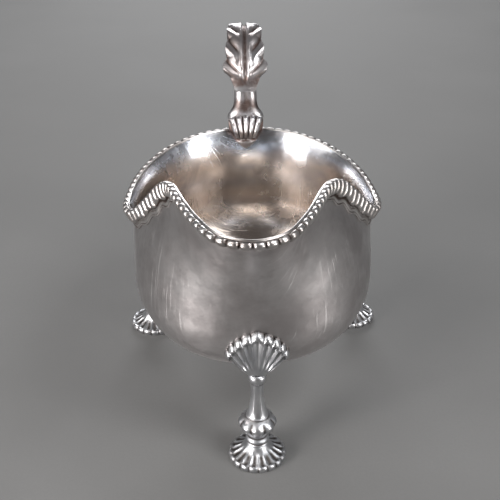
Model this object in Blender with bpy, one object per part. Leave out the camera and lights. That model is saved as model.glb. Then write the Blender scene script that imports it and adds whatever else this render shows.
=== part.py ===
"""A silver sauce boat: a raised oval bowl with a pouring lip, a cast gadroon border along its shaped rim, a
leaf-capped scroll handle cast in two halves, and three knopped legs between shell knees and shell feet.

The origin is on the table under the middle of the object. -Y is the lip's end, +Y the handle's, +Z is up.
The shapes are drawn about the bowl's own middle, and an empty moves them all to the origin.
"""

import math
from typing import NamedTuple

import bpy
import numpy as np

MM = 0.001

# Driving dimensions -------------------------------------------------------------------------------

GAP = 0.3 * MM  # between pieces that are soldered face to face
MIDDLE_X = 1.5 * MM  # the middle of the whole object, from the bowl's own middle
MIDDLE_Y = 17.5 * MM
SHEET = 1.1 * MM  # the bowl's gauge

BOWL_AXIS_Y = 6 * MM  # every meridian of the bowl lies in a vertical plane through this axis
BOWL_FLOOR_Z = 21 * MM
BELLY_Z = 52.3 * MM  # height of the widest part of the belly
BELLY_HALF_WIDTH = 44.0 * MM
BELLY_FRONT = 51.8 * MM  # from the axis to the front of the belly, inside
BELLY_REAR = 52.2 * MM
BELLY_SQUARENESS = 2.3  # 2 would be an oval belly, more is squarer in plan
BELLY_FULLNESS = 0.94  # below 1, the underside is fuller than an oval
LIP_FLARE = 3.0 * MM  # how far the rim turns out over the wall below it
LIP_FLARE_FROM = 0.74  # share of the wall's height where the rim starts to turn out
REAR_FLARE_FROM = 0.55  # the same at the back, where the wall opens out sooner
SHEET_EDGE_DOWN = 1.2 * MM  # the sheet stops this far under the top of the border, which caps it
BELLY_RINGS = 9  # from the middle of the floor to the belly
WALL_RINGS = 10  # from the belly to the rim

# The top inner edge of the rim, in millimetres, from the tip of the lip round the +X side to the back.
RIM_HALF = [
    (0, -71.0, 102.7),
    (9.5, -67.3, 102.8),
    (16.3, -56.5, 103.2),
    (20.0, -47.5, 103.5),
    (22.6, -39.5, 103.4),
    (25.2, -32.0, 102.6),
    (28.0, -26.0, 100.2),
    (31.0, -21.5, 96.8),
    (34.5, -17.0, 91.8),
    (38.0, -12.5, 86.9),
    (41.0, -8.5, 82.8),
    (43.4, -4.5, 79.5),
    (45.5, 0.0, 78.2),
    (46.4, 6.0, 77.5),
    (46.1, 14.0, 77.3),
    (44.0, 26.5, 78.0),
    (39.8, 37.5, 79.1),
    (32.8, 47.8, 80.8),
    (22.2, 57.0, 82.2),
    (11.0, 62.0, 82.9),
    (0, 63.5, 83.0),
]
RIM_NOTCH = 11  # which of those points is the corner between the lip and the side
RIM_STATIONS_FRONT = 27
RIM_STATIONS_REAR = 20
RIM_SAMPLES = 400
LIP_LEAN = 2.4 * MM  # the lip is raised by hand and leans this far towards -X
LEAN_FROM, LEAN_WHOLE = 5 * MM, 45 * MM  # how far in front of the middle the lean starts, and is whole

REACH_ROUNDS = 14
LEAST_SLOPE = 0.3  # keeps the sheet's thickness finite where the underside is nearly level

BORDER_FACE = 3.2 * MM  # from the inner edge of the rim to the outside of the lobes
BORDER_END_GAP = 0.15 * MM  # each length of border stops this far short of the joint


class Leg(NamedTuple):
    azimuth: float  # degrees from the lip, towards +X
    foot_reach: float  # from the bowl's axis to the middle of the foot


# The legs are bent and soldered on by hand, so the rear pair is splayed a little unevenly.
LEGS = {
    "front": Leg(0.0, 54.5 * MM),
    "right": Leg(127.7, 57.3 * MM),
    "left": Leg(-127.7, 53.5 * MM),
}
KNEE_APEX_Z = 35.3 * MM
KNEE_TALL = 18.4 * MM
KNEE_STEM_HALF = 2.9 * MM  # half the knee's width where it meets the stem
KNEE_DROP = 5.6 * MM  # how much shorter the knee's outermost flutes are than its middle one
KNEE_FAN = 50.0  # half the angle the knee opens to, in degrees
KNEE_FLUTES = 9
KNEE_FLUTE_DEPTH = 0.4 * MM
KNEE_SCALLOP = 0.5 * MM  # how far the edge goes in between two flutes
KNEE_STANDS_OUT = 2.8 * MM  # from the middle of the stem's top to the front of the knee above it
KNEE_LEAN = 1.1 * MM  # the knee's upper edge is this much further out than its apex
KNEE_SWELL = 1.3 * MM  # how far the middle of the knee's height swells out
KNEE_CROWN_RADIUS = 22 * MM  # the knee's rounding from side to side
KNEE_LEAST = 2.2 * MM  # its thickness at the edge
KNEE_MOST = 5.8 * MM  # its thickness where it stands clear of the belly, over the stem
STEM_INSET = 1.9 * MM  # the top of the stem is this far inside the belly's outermost point
STEM_SIDES = 16
PEG_RADIUS = 1.4 * MM
PEG_LENGTH = 2.5 * MM
STEM_FOOT_Z = 6.9 * MM
FOOT_SIDES = 36

HANDLE_X = -1.0 * MM  # the handle is soldered on a little to one side
SEAM = 0.15 * MM  # from the handle's middle plane to each half of it
PLATE_Z = 44.0 * MM
PLATE_HALF_WIDTH = 6.2 * MM
PLATE_HALF_HEIGHT = 8.0 * MM
PLATE_THICKNESS = 1.0 * MM
PLATE_SIDES = 24

SHELL_ABOVE_RIM = 6.0 * MM
SHELL_BELOW_RIM = 7.8 * MM
SHELL_HALF_WIDTH = 7.1 * MM
SHELL_TIP_SHARE = 0.12  # the tip's width, as a share of the whole
SHELL_WIDEST_AT = 0.6  # share of the shell's height where it reaches its whole width
SHELL_FLUTE_DEPTH = 0.35 * MM
SHELL_EDGE = 0.7 * MM  # its thickness at the tip
SHELL_BULGE = 3.3 * MM
SHELL_OVERHANG = 2.6 * MM  # above the rim the shell's back keeps this far inside it, clear of the border

RAISED = (0.62, 0.60, 0.58, 1.0)
RAISED_ROUGHNESS = 0.32
CAST = (0.74, 0.73, 0.72, 1.0)
CAST_ROUGHNESS = 0.18


# Curves and meshes --------------------------------------------------------------------------------


def smooth_line(points, count, mirrored=False):
    """count points, evenly spaced, on the centripetal Catmull-Rom curve through points.

    A mirrored line goes on past both ends as its own mirror image in X, so it meets the middle plane square.
    """
    points = np.asarray(points, float)
    ends = (2 * points[:1] - points[1:2], 2 * points[-1:] - points[-2:-1])
    if mirrored:
        ends = (points[1:2] * [-1, 1, 1], points[-2:-1] * [-1, 1, 1])
    padded = np.concatenate([ends[0], points, ends[1]])
    knots = np.concatenate([[0], np.cumsum(np.linalg.norm(np.diff(padded, axis=0), axis=1) ** 0.5)])
    fine = []
    for i in range(1, len(padded) - 2):
        t0, t1, t2, t3 = knots[i - 1 : i + 3]
        t = np.linspace(t1, t2, 40, endpoint=False)[:, None]
        a1 = padded[i - 1] + (t - t0) / (t1 - t0) * (padded[i] - padded[i - 1])
        a2 = padded[i] + (t - t1) / (t2 - t1) * (padded[i + 1] - padded[i])
        a3 = padded[i + 1] + (t - t2) / (t3 - t2) * (padded[i + 2] - padded[i + 1])
        b1 = a1 + (t - t0) / (t2 - t0) * (a2 - a1)
        b2 = a2 + (t - t1) / (t3 - t1) * (a3 - a2)
        fine.append(b1 + (t - t1) / (t2 - t1) * (b2 - b1))
    fine = np.concatenate([*fine, points[-1:]])
    along = np.concatenate([[0], np.cumsum(np.linalg.norm(np.diff(fine, axis=0), axis=1))])
    at = np.linspace(0, along[-1], count)
    return np.stack([np.interp(at, along, fine[:, k]) for k in range(points.shape[1])], axis=1)


def unit(vectors):
    return vectors / np.maximum(np.linalg.norm(vectors, axis=-1, keepdims=True), 1e-12)


def ramp(value, low, high):
    """0 up to low, 1 from high, and smooth in between."""
    t = np.clip((value - low) / (high - low), 0, 1)
    return t * t * (3 - 2 * t)


def add_object(name, vertices, faces, colour, roughness, sharp_degrees=35):
    """A closed mesh with a material of its own, faces outward, under the empty that carries the whole."""
    mesh = bpy.data.meshes.new(name)
    mesh.from_pydata([tuple(v) for v in vertices], [], [tuple(f) for f in faces])
    mesh.update()
    mesh.materials.append(silver(name, colour, roughness))
    face_outwards(mesh)
    mesh.shade_smooth()
    mesh.set_sharp_from_angle(angle=math.radians(sharp_degrees))
    obj = bpy.data.objects.new(name, mesh)
    obj.parent = bpy.data.objects["sauce_boat"]
    bpy.context.scene.collection.objects.link(obj)
    return obj


def face_outwards(mesh):
    """Turns every face over if the closed mesh is inside out."""
    mesh.calc_loop_triangles()
    volume = 0.0
    for triangle in mesh.loop_triangles:
        a, b, c = (mesh.vertices[i].co for i in triangle.vertices)
        volume += a.dot(b.cross(c))
    if volume < 0:
        mesh.flip_normals()


def silver(name, colour, roughness):
    material = bpy.data.materials.new(name + "_silver")
    material.use_nodes = True
    shader = material.node_tree.nodes["Principled BSDF"]
    shader.inputs["Base Color"].default_value = colour
    shader.inputs["Metallic"].default_value = 1.0
    shader.inputs["Roughness"].default_value = roughness
    material.diffuse_color = colour
    return material


def grid_faces(rows, columns, first=0, closed_columns=False):
    """Quads over a grid of points kept row by row."""
    faces = []
    for i in range(rows - 1):
        for j in range(columns if closed_columns else columns - 1):
            k = (j + 1) % columns
            a, b = first + i * columns, first + (i + 1) * columns
            faces.append((a + j, a + k, b + k, b + j))
    return faces


def cast(name, sections, sharp_degrees=35):
    """A cast piece: a closed solid through a list of sections, each a ring of the same number of points."""
    sections = np.asarray(sections)
    rings, around = sections.shape[:2]
    faces = grid_faces(rings, around, closed_columns=True)
    first, last = tuple(range(around)), tuple(range((rings - 1) * around, rings * around))
    faces += [first[::-1], last]
    return add_object(name, sections.reshape(-1, 3), faces, CAST, CAST_ROUGHNESS, sharp_degrees)


def closed_sheet(name, front, back, sharp_degrees=35):
    """A cast piece between two grids of points of the same size."""
    rows, columns = front.shape[:2]
    count = rows * columns
    faces = grid_faces(rows, columns)
    faces += [f[::-1] for f in grid_faces(rows, columns, count)]
    border = list(range(columns))
    border += [i * columns + columns - 1 for i in range(1, rows)]
    border += [(rows - 1) * columns + j for j in range(columns - 2, -1, -1)]
    border += [i * columns for i in range(rows - 2, 0, -1)]
    for a, b in zip(border, border[1:] + border[:1]):
        faces.append((b, a, a + count, b + count))
    vertices = np.concatenate([front.reshape(-1, 3), back.reshape(-1, 3)])
    return add_object(name, vertices, faces, CAST, CAST_ROUGHNESS, sharp_degrees)


# The bowl -----------------------------------------------------------------------------------------


def rim_loop():
    """The rim's inner edge, from the tip round by +X, and where its notches and its back are."""
    points = smooth_line(np.array(RIM_HALF) * MM, RIM_SAMPLES, mirrored=True)
    corner = np.argmin(np.linalg.norm(points - np.array(RIM_HALF[RIM_NOTCH]) * MM, axis=1))
    front = points[np.linspace(0, corner, RIM_STATIONS_FRONT).round().astype(int)]
    rear = points[np.linspace(corner, len(points) - 1, RIM_STATIONS_REAR).round().astype(int)]
    half = np.concatenate([front, rear[1:]])
    loop = np.concatenate([half, half[-2:0:-1] * [-1, 1, 1]])
    loop[:, 0] -= LIP_LEAN * ramp(-loop[:, 1], LEAN_FROM, LEAN_WHOLE)
    notch, back = RIM_STATIONS_FRONT - 1, len(half) - 1
    return loop, (notch, back, len(loop) - notch)


def plan_direction(points):
    away = points[..., :2] - [0, BOWL_AXIS_Y]
    return away / np.maximum(np.linalg.norm(away, axis=-1, keepdims=True), 1e-12)


def plan_angle(direction):
    """0 towards the lip, growing towards +X."""
    return np.arctan2(direction[..., 0], -direction[..., 1])


def belly_radius(direction):
    """The belly's inside radius from the axis, for unit directions in plan."""
    power = BELLY_SQUARENESS
    reach = np.where(direction[..., 1] < 0, BELLY_FRONT, BELLY_REAR)
    across = np.abs(direction[..., 0] / BELLY_HALF_WIDTH) ** power
    return (across + np.abs(direction[..., 1] / reach) ** power) ** (-1 / power)


def rim_at(rim, direction):
    """Radius and height of the rim for unit directions in plan."""
    angles = plan_angle(plan_direction(rim))
    order = np.argsort(angles)
    radii = np.linalg.norm(rim[:, :2] - [0, BOWL_AXIS_Y], axis=1)[order]
    wanted = plan_angle(direction)
    full = 2 * math.pi
    radius = np.interp(wanted, angles[order], radii, period=full)
    return radius, np.interp(wanted, angles[order], rim[order, 2], period=full)


def skin_radius(rim, direction, height):
    """The bowl's inside radius from the axis, for a direction in plan and a height."""
    low = belly_radius(direction)
    rim_radius, rim_height = rim_at(rim, direction)
    share = np.clip((height - BELLY_Z) / (rim_height - BELLY_Z), 0, 1.05)
    rearward = ramp(direction[..., 1], 0.2, 0.9)
    starts = LIP_FLARE_FROM + (REAR_FLARE_FROM - LIP_FLARE_FROM) * rearward
    flare = np.clip((share - starts) / (1 - starts), 0, None) ** 2
    wall = low + (rim_radius - LIP_FLARE - low) * share**2 + LIP_FLARE * flare
    drop = np.clip((height - BOWL_FLOOR_Z) / (BELLY_Z - BOWL_FLOOR_Z), 0, 1)
    under = low * np.sin(np.arccos(1 - drop)) ** BELLY_FULLNESS
    return np.where(height > BELLY_Z, wall, under)


def skin_point(rim, direction, height):
    radius = skin_radius(rim, direction, height)
    x, y = direction[..., 0] * radius, BOWL_AXIS_Y + direction[..., 1] * radius
    return np.stack([x, y, height + 0 * radius], -1)


def skin_normal(rim, direction, height):
    """The outward normal of the bowl's skin."""
    step, rise = 0.01, 0.3 * MM
    turned = [spin(direction, angle) for angle in (-step, step)]
    around = skin_point(rim, turned[1], height) - skin_point(rim, turned[0], height)
    up = skin_point(rim, direction, height + rise) - skin_point(rim, direction, height - rise)
    return unit(np.cross(around, up))


def spin(direction, angle):
    c, s = math.cos(angle), math.sin(angle)
    x, y = direction[..., 0], direction[..., 1]
    return np.stack([x * c - y * s, x * s + y * c], -1)


def path_tangents(rim):
    return unit(np.roll(rim, -1, axis=0) - np.roll(rim, 1, axis=0))


def build_bowl(rim):
    direction = plan_direction(rim)
    _, rim_height = rim_at(rim, direction)
    level = np.linalg.norm(path_tangents(rim)[:, :2], axis=1)
    turns = np.linspace(0, math.pi / 2, BELLY_RINGS)[1:]
    heights = [BOWL_FLOOR_Z + (BELLY_Z - BOWL_FLOOR_Z) * (1 - math.cos(t)) + 0 * rim_height for t in turns]
    top = rim_height - SHEET_EDGE_DOWN / level
    heights += [BELLY_Z + (top - BELLY_Z) * share for share in np.linspace(0, 1, WALL_RINGS)[1:] ** 0.85]
    inner = np.stack([skin_point(rim, direction, height) for height in heights])
    outer = inner + np.stack([skin_normal(rim, direction, height) for height in heights]) * SHEET
    levels, around = inner.shape[:2]
    bottom = np.array([[0, BOWL_AXIS_Y, BOWL_FLOOR_Z - SHEET], [0, BOWL_AXIS_Y, BOWL_FLOOR_Z]])
    vertices = np.concatenate([outer.reshape(-1, 3), inner.reshape(-1, 3), bottom])
    inner_first, bottom_outer, bottom_inner = levels * around, 2 * levels * around, 2 * levels * around + 1
    faces = grid_faces(levels, around, closed_columns=True)
    faces += [f[::-1] for f in grid_faces(levels, around, inner_first, closed_columns=True)]
    last = (levels - 1) * around
    for j in range(around):
        k = (j + 1) % around
        faces.append((last + j, last + k, inner_first + last + k, inner_first + last + j))
        faces.append((bottom_outer, k, j))
        faces.append((bottom_inner, inner_first + j, inner_first + k))
    add_object("bowl", vertices, faces, RAISED, RAISED_ROUGHNESS)


# The gadroon border -------------------------------------------------------------------------------


def band_width(y):
    """The plain band inside the lobes: broad at the lip, nearly nothing from the shoulders back."""
    return (0.4 + 0.9 * ramp(-y, 26 * MM, 46 * MM) + 0.8 * ramp(-y, 46 * MM, 66 * MM)) * MM


def lobe_length(y):
    """How deep the lobes are: short at the lip, long over the shoulders, middling along the sides."""
    shoulder = 2.4 * ramp(y, -44 * MM, -22 * MM) + 1.2 * ramp(y, -22 * MM, -6 * MM)
    return (2.5 + shoulder - 2.4 * ramp(y, 0, 30 * MM)) * MM


def cove_height(y):
    """How deep the cove under the lobes is."""
    return (0.9 + 2.1 * ramp(y, -42 * MM, -22 * MM) - 0.9 * ramp(y, 2 * MM, 30 * MM)) * MM


def border_section(rim, point, out, down):
    """A ring of points across the border: band, lobe, cove, and the back that caps and laps the sheet."""
    band, length, cove = band_width(point[1]), lobe_length(point[1]), cove_height(point[1])
    lap = SHEET + 1.5 * GAP
    profile = [
        (0, SHEET_EDGE_DOWN - GAP),
        (0, 0),
        (band, -0.1 * MM),
        (0.5 * (band + BORDER_FACE), -0.05 * MM),
        (BORDER_FACE, 0.35 * length),
        (BORDER_FACE, 0.7 * length),
        (BORDER_FACE - 0.7 * MM, length),
        (lap + 0.3 * MM, length + 0.7 * cove),
        (lap, length + cove),
        (lap, SHEET_EDGE_DOWN - GAP),
    ]
    ring = []
    for across, depth in profile:
        place = point + down * depth
        direction = plan_direction(place)
        if depth > 0:
            place = skin_point(rim, direction, place[2])
            away = unit(skin_normal(rim, direction, place[2]) + out * ramp(-depth, -6 * MM, 0))
            ring.append(place + away * across)
        else:
            ring.append(place + out * across)
    return ring


def build_border(rim, marks):
    """Four lengths of border, joined at the tip, at the two notches and behind the handle."""
    along = path_tangents(rim)
    direction = plan_direction(rim)
    normal = skin_normal(rim, direction, rim[:, 2] - 0.4 * MM)
    out = unit(normal - along * np.sum(normal * along, axis=1, keepdims=True))
    down = unit(np.cross(along, out))
    down *= np.sign(-down[:, 2:])
    for _ in range(8):
        down = unit(down + np.roll(down, 1, axis=0) + np.roll(down, -1, axis=0))
    notch, back, other_notch = marks
    spans = {
        "border_front_right": (0, notch),
        "border_rear_right": (notch, back),
        "border_rear_left": (back, other_notch),
        "border_front_left": (other_notch, len(rim)),
    }
    for name, (first, last) in spans.items():
        stations = np.arange(first, last + 1) % len(rim)
        points = rim[stations].copy()
        points[0] += unit(points[1] - points[0]) * BORDER_END_GAP
        points[-1] += unit(points[-2] - points[-1]) * BORDER_END_GAP
        sections = [border_section(rim, point, out[i], down[i]) for point, i in zip(points, stations)]
        cast(name, sections, 50)


# Legs ---------------------------------------------------------------------------------------------


def leg_frame(azimuth):
    """Unit vectors in plan for a leg: out from the bowl's axis, and across."""
    turn = math.radians(azimuth)
    outward = np.array([math.sin(turn), -math.cos(turn)])
    across = np.array([math.cos(turn), math.sin(turn)])
    return outward, across


def leg_point(leg, reach, side, height):
    """A point in a leg's own frame, whose origin is on the table under the foot and whose -Y is outward."""
    reach, side, height = np.broadcast_arrays(reach, side, height)
    return np.stack([side, leg.foot_reach - reach, height], axis=-1)


def place_on_leg(obj, leg):
    outward, _ = leg_frame(leg.azimuth)
    obj.location = (outward[0] * leg.foot_reach, BOWL_AXIS_Y + outward[1] * leg.foot_reach, 0)
    obj.rotation_euler.z = math.radians(leg.azimuth)


def outer_reach(rim, frame, side, height, thickness=SHEET):
    """How far out the bowl's outside is, at a distance to the side of the leg's plane and a height.

    The direction in plan depends on the reach, so the reach is worked out again until it settles.
    """
    outward, across = frame
    side, height = np.broadcast_arrays(side, height)
    reach = np.full(side.shape, BELLY_HALF_WIDTH)
    for _ in range(REACH_ROUNDS):
        direction = unit(reach[..., None] * outward + side[..., None] * across)
        slope = np.sum(skin_normal(rim, direction, height)[..., :2] * direction, axis=-1)
        radius = skin_radius(rim, direction, height) + thickness / np.maximum(slope, LEAST_SLOPE)
        reach = np.sqrt(np.maximum(radius**2 - side**2, 0))
    return reach


def knee_reach(rim, frame):
    """How far out the top of the stem is."""
    return float(outer_reach(rim, frame, np.array(0.0), np.array(BELLY_Z))) - STEM_INSET


def build_knee(rim, leg):
    """A fluted fan whose back lies on the belly, with its narrow end on top of the stem."""
    frame = leg_frame(leg.azimuth)
    columns, rows = 2 * KNEE_FLUTES + 1, 8
    turn = np.linspace(-1, 1, columns)[None, :]
    share = np.linspace(0, 1, rows)[:, None] ** 0.9
    ridge = (1 + np.cos(2 * math.pi * KNEE_FLUTES * (turn + 1) / 2)) / 2
    fan = math.radians(KNEE_FAN)
    inner = KNEE_STEM_HALF / math.sin(fan)
    outline = KNEE_TALL + inner * math.cos(fan) - KNEE_DROP * np.abs(turn) ** 1.3 - KNEE_SCALLOP * ridge
    along = inner + (outline - inner) * share
    side = along * np.sin(fan * turn)
    up = along * np.cos(fan * turn) - inner * math.cos(fan)
    up = np.where(share > 0, np.maximum(up, 0), 0)
    height = KNEE_APEX_Z + up
    skin = outer_reach(rim, frame, side, height)
    rise = np.clip(up / KNEE_TALL, 0, 1)
    lean = KNEE_LEAN * rise + KNEE_SWELL * np.sin(math.pi * rise)
    spine = knee_reach(rim, frame) + KNEE_STANDS_OUT + lean
    crowned = spine - side**2 / (2 * KNEE_CROWN_RADIUS)
    front = np.maximum(crowned, skin + GAP + KNEE_LEAST) + KNEE_FLUTE_DEPTH * ridge * share
    back = np.maximum(skin + GAP, front - KNEE_MOST)
    return leg_point(leg, front, side, height), leg_point(leg, back, side, height)


STEM_PROFILE = [
    (35.0, 1.8),
    (34.7, 2.6),
    (33.8, 3.15),
    (32.6, 3.2),
    (31.6, 2.8),
    (30.9, 2.4),
    (26.8, 2.2),
    (23.4, 2.5),
    (21.6, 2.85),
    (19.0, 3.6),
    (17.6, 4.3),
    (16.6, 5.6),
    (15.4, 6.7),
    (14.0, 6.9),
    (12.4, 6.0),
    (11.0, 4.8),
    (9.8, 3.9),
    (8.9, 3.9),
    (8.2, 4.1),
    (7.3, 4.0),
    (6.9, 3.6),
]  # (height, radius) in millimetres: ball collar, waist, knop, ring collar


def stem_reach(leg, top_reach, height):
    """The leg leans out in a straight line from the knee to the foot."""
    share = np.clip((height - STEM_FOOT_Z) / (KNEE_APEX_Z - STEM_FOOT_Z), 0, 1)
    return leg.foot_reach + (top_reach - leg.foot_reach) * share


def build_stem(leg, top_reach):
    """The stem's sections, with the peg under it that goes into the foot."""
    turns = np.arange(STEM_SIDES) * 2 * math.pi / STEM_SIDES
    profile = [(height * MM, radius * MM) for height, radius in STEM_PROFILE]
    profile += [(STEM_FOOT_Z, PEG_RADIUS), (STEM_FOOT_Z - PEG_LENGTH, PEG_RADIUS)]
    sections = []
    for height, radius in profile:
        reach = stem_reach(leg, top_reach, height)
        sections.append(leg_point(leg, reach + radius * np.cos(turns), radius * np.sin(turns), height))
    return sections


FOOT_PROFILE = [
    (1.7, 4.1),
    (1.7, 6.6),
    (3.5, 6.6),
    (4.4, 6.0),
    (6.0, 4.4),
    (7.8, 3.0),
    (9.3, 2.0),
    (10.2, 1.2),
    (10.2, 0.0),
]  # (radius, height) in millimetres: the peg's socket, the domed top, the flat base


def build_foot(leg):
    turns = np.arange(FOOT_SIDES) * 2 * math.pi / FOOT_SIDES
    rows = []
    for radius, height in FOOT_PROFILE:
        reach, side = leg.foot_reach + radius * MM * np.cos(turns), radius * MM * np.sin(turns)
        rows.append(leg_point(leg, reach, side, height * MM))
    return rows


def build_leg(rim, place_name, leg):
    knee = closed_sheet(f"shell_knee_{place_name}", *build_knee(rim, leg))
    stem = cast(f"leg_stem_{place_name}", build_stem(leg, knee_reach(rim, leg_frame(leg.azimuth))))
    foot = cast(f"shell_foot_{place_name}", build_foot(leg))
    for piece in (knee, stem, foot):
        place_on_leg(piece, leg)


# The handle ---------------------------------------------------------------------------------------

HANDLE_LINE = [
    (64.0, 83.45, 6.0, 3.2),
    (64.3, 87.6, 7.5, 3.2),
    (65.2, 92.0, 5.2, 3.2),
    (67.4, 99.0, 4.4, 3.3),
    (71.6, 106.5, 4.6, 3.6),
    (78.4, 112.6, 4.6, 3.8),
    (87.5, 114.9, 4.6, 3.9),
    (96.0, 111.0, 4.6, 3.9),
    (101.4, 102.0, 4.6, 3.8),
    (102.0, 91.5, 4.5, 3.6),
    (97.8, 80.8, 4.3, 3.4),
    (89.5, 71.5, 4.0, 3.2),
    (80.0, 64.2, 3.8, 3.0),
    (71.0, 57.4, 3.7, 2.9),
    (65.3, 50.8, 3.7, 2.9),
    (62.7, 44.6, 3.9, 3.0),
    (63.8, 38.6, 3.6, 2.6),
    (67.8, 35.4, 2.8, 2.0),
    (71.2, 37.4, 2.2, 1.6),
]  # (y, z, half width, half depth) in millimetres, from the rim over the top and down to a curled end
HANDLE_STATIONS = 40
LEAF_LINE = [
    (10.5, 4.3, 0.6),
    (12.8, 6.0, 1.2),
    (14.5, 7.6, 1.8),
    (16.5, 8.9, 2.1),
    (18.5, 8.3, 2.1),
    (20.5, 7.5, 2.0),
    (24.0, 7.1, 2.0),
    (30.0, 6.5, 1.9),
    (36.0, 5.7, 1.8),
    (42.0, 4.8, 1.6),
    (47.0, 3.2, 1.2),
    (50.0, 1.0, 0.7),
]  # (percent of the handle's length, half width, thickness), the last two in millimetres
LEAF_STATIONS = 26


def handle_line(share=None):
    """The handle's middle line, the direction out of its outer face, its half width and half depth."""
    table = smooth_line(np.array(HANDLE_LINE), 400) * MM
    if share is None:
        share = np.linspace(0, 1, HANDLE_STATIONS)
    at = np.linspace(0, 1, len(table))
    y, z, width, depth = (np.interp(share, at, table[:, k]) for k in range(4))
    slope_y = np.interp(share, at, np.gradient(table[:, 0]))
    slope_z = np.interp(share, at, np.gradient(table[:, 1]))
    along = unit(np.stack([0 * share, slope_y, slope_z], axis=1))
    outer = np.stack([0 * share, -along[:, 2], along[:, 1]], axis=1)
    return np.stack([HANDLE_X + 0 * share, y, z], axis=1), outer, width, depth


def build_handle_half(name, hand):
    """One casting of the handle: a D section, flat on the middle plane."""
    turns = np.linspace(-math.pi / 2, math.pi / 2, 9)
    sections = []
    for centre, out, width, depth in zip(*handle_line()):
        ring = []
        for turn in turns:
            side = SEAM + (width - SEAM) * math.cos(turn) ** 0.8
            ring.append(centre + out * depth * math.sin(turn) + np.array([hand * side, 0, 0]))
        sections.append(ring)
    cast(name, sections)


def build_leaf():
    """The acanthus leaf that caps the handle: a thick strip lying on its outer face."""
    table = smooth_line(np.array(LEAF_LINE), LEAF_STATIONS)
    line, outer, width, depth = handle_line(table[:, 0] / 100)
    sections = []
    for k, centre in enumerate(line):
        half, thick = table[k, 1] * MM, table[k, 2] * MM
        front, back = [], []
        for across in np.linspace(-1, 1, 7):
            side = across * half
            lean = min(abs(side) / width[k], 1)
            seat = depth[k] * (1 - 0.5 * lean**2.5) + 1.3 * GAP
            place = centre + np.array([side, 0, 0])
            back.append(place + outer[k] * seat)
            front.append(place + outer[k] * (depth[k] + GAP + thick * (1 - 0.75 * across**2)))
        sections.append(front + back[::-1])
    cast("acanthus_leaf", sections)


def rear_wall(rim, x, height, thickness):
    """Where the back of the bowl is, along Y, at distances x from its middle plane."""
    return BOWL_AXIS_Y + outer_reach(rim, leg_frame(180.0), -x, height, thickness)


def build_rim_shell(rim, back_index):
    """The fluted shell on the end of the handle, lapping over the back of the rim into the bowl."""
    rows, columns = 9, 13
    turn = np.linspace(-1, 1, columns)[None, :]
    share = np.linspace(0, 1, rows)[:, None]
    rim_z = rim[back_index][2]
    grown = np.sin(math.pi / 2 * np.clip(share / SHELL_WIDEST_AT, 0, 1) ** 0.8)
    x = HANDLE_X + SHELL_HALF_WIDTH * (SHELL_TIP_SHARE + (1 - SHELL_TIP_SHARE) * grown) * turn
    height = rim_z - SHELL_BELOW_RIM + (SHELL_BELOW_RIM + SHELL_ABOVE_RIM) * share + 0 * x
    flutes = SHELL_FLUTE_DEPTH * np.cos(3 * math.pi * turn) * share
    seat = rear_wall(rim, x, np.minimum(height, rim_z), -1.2 * GAP)
    seat = seat - SHELL_OVERHANG * ramp(height, rim_z - 3 * MM, rim_z + 0.5 * MM)
    bulge = SHELL_EDGE + SHELL_BULGE * np.sin(math.pi * np.clip(share, 0.0, 0.93)) ** 0.7
    front = seat - bulge * (1 - 0.6 * np.abs(turn) ** 2.5) + flutes
    outside = np.stack(np.broadcast_arrays(x, front, height), axis=-1)
    inside = np.stack(np.broadcast_arrays(x, seat, height), axis=-1)
    closed_sheet("rim_shell", outside, inside)


def build_wall_plate(rim):
    """The oval plate between the lower end of the handle and the back of the bowl."""
    turns = np.arange(PLATE_SIDES) * 2 * math.pi / PLATE_SIDES
    front, back = [], []
    for share in np.linspace(0, 1, 5)[1:]:
        x = HANDLE_X - PLATE_HALF_WIDTH * share * np.cos(turns)
        height = PLATE_Z + PLATE_HALF_HEIGHT * share * np.sin(turns)
        seat = rear_wall(rim, x, height, SHEET + 1.2 * GAP)
        rise = PLATE_THICKNESS * (1 - 0.45 * share**4)
        back.append(np.stack([x, seat, height], axis=-1))
        front.append(np.stack([x, seat + rise, height], axis=-1))
    cast("wall_plate", back + front[::-1])


def main():
    for obj in list(bpy.data.objects):
        bpy.data.objects.remove(obj)
    whole = bpy.data.objects.new("sauce_boat", None)
    whole.location = (-MIDDLE_X, -MIDDLE_Y, 0)
    bpy.context.scene.collection.objects.link(whole)
    rim, marks = rim_loop()
    build_bowl(rim)
    build_border(rim, marks)
    for place_name, leg in LEGS.items():
        build_leg(rim, place_name, leg)
    build_handle_half("handle_half_right", 1)
    build_handle_half("handle_half_left", -1)
    build_leaf()
    build_rim_shell(rim, marks[1])
    build_wall_plate(rim)


main()
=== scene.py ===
"""The looks of the silver sauce boat: fine meshes, toned and scratched silver, floor, lights and camera.

Every shape is drawn in millimetres about the bowl's own middle, as in the part's source, and add_piece
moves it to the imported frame. -Y is the lip's end, +Y the handle's end, +Z is up.
"""

import math
from typing import NamedTuple

import bpy
import numpy as np
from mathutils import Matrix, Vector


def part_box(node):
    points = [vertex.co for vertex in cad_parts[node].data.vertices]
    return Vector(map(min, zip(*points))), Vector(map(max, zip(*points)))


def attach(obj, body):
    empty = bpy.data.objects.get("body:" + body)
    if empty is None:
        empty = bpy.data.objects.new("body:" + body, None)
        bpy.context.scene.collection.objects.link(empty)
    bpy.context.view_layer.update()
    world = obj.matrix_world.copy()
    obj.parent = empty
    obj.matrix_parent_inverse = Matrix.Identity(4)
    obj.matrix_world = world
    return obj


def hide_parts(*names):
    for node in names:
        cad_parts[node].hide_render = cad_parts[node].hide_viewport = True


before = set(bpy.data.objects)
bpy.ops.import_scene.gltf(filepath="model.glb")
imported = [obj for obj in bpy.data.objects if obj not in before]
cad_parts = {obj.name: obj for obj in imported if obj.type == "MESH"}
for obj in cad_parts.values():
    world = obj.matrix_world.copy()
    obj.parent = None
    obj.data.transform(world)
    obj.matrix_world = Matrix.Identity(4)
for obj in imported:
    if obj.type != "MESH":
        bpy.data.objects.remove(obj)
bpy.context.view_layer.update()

MM = 0.001

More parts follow.
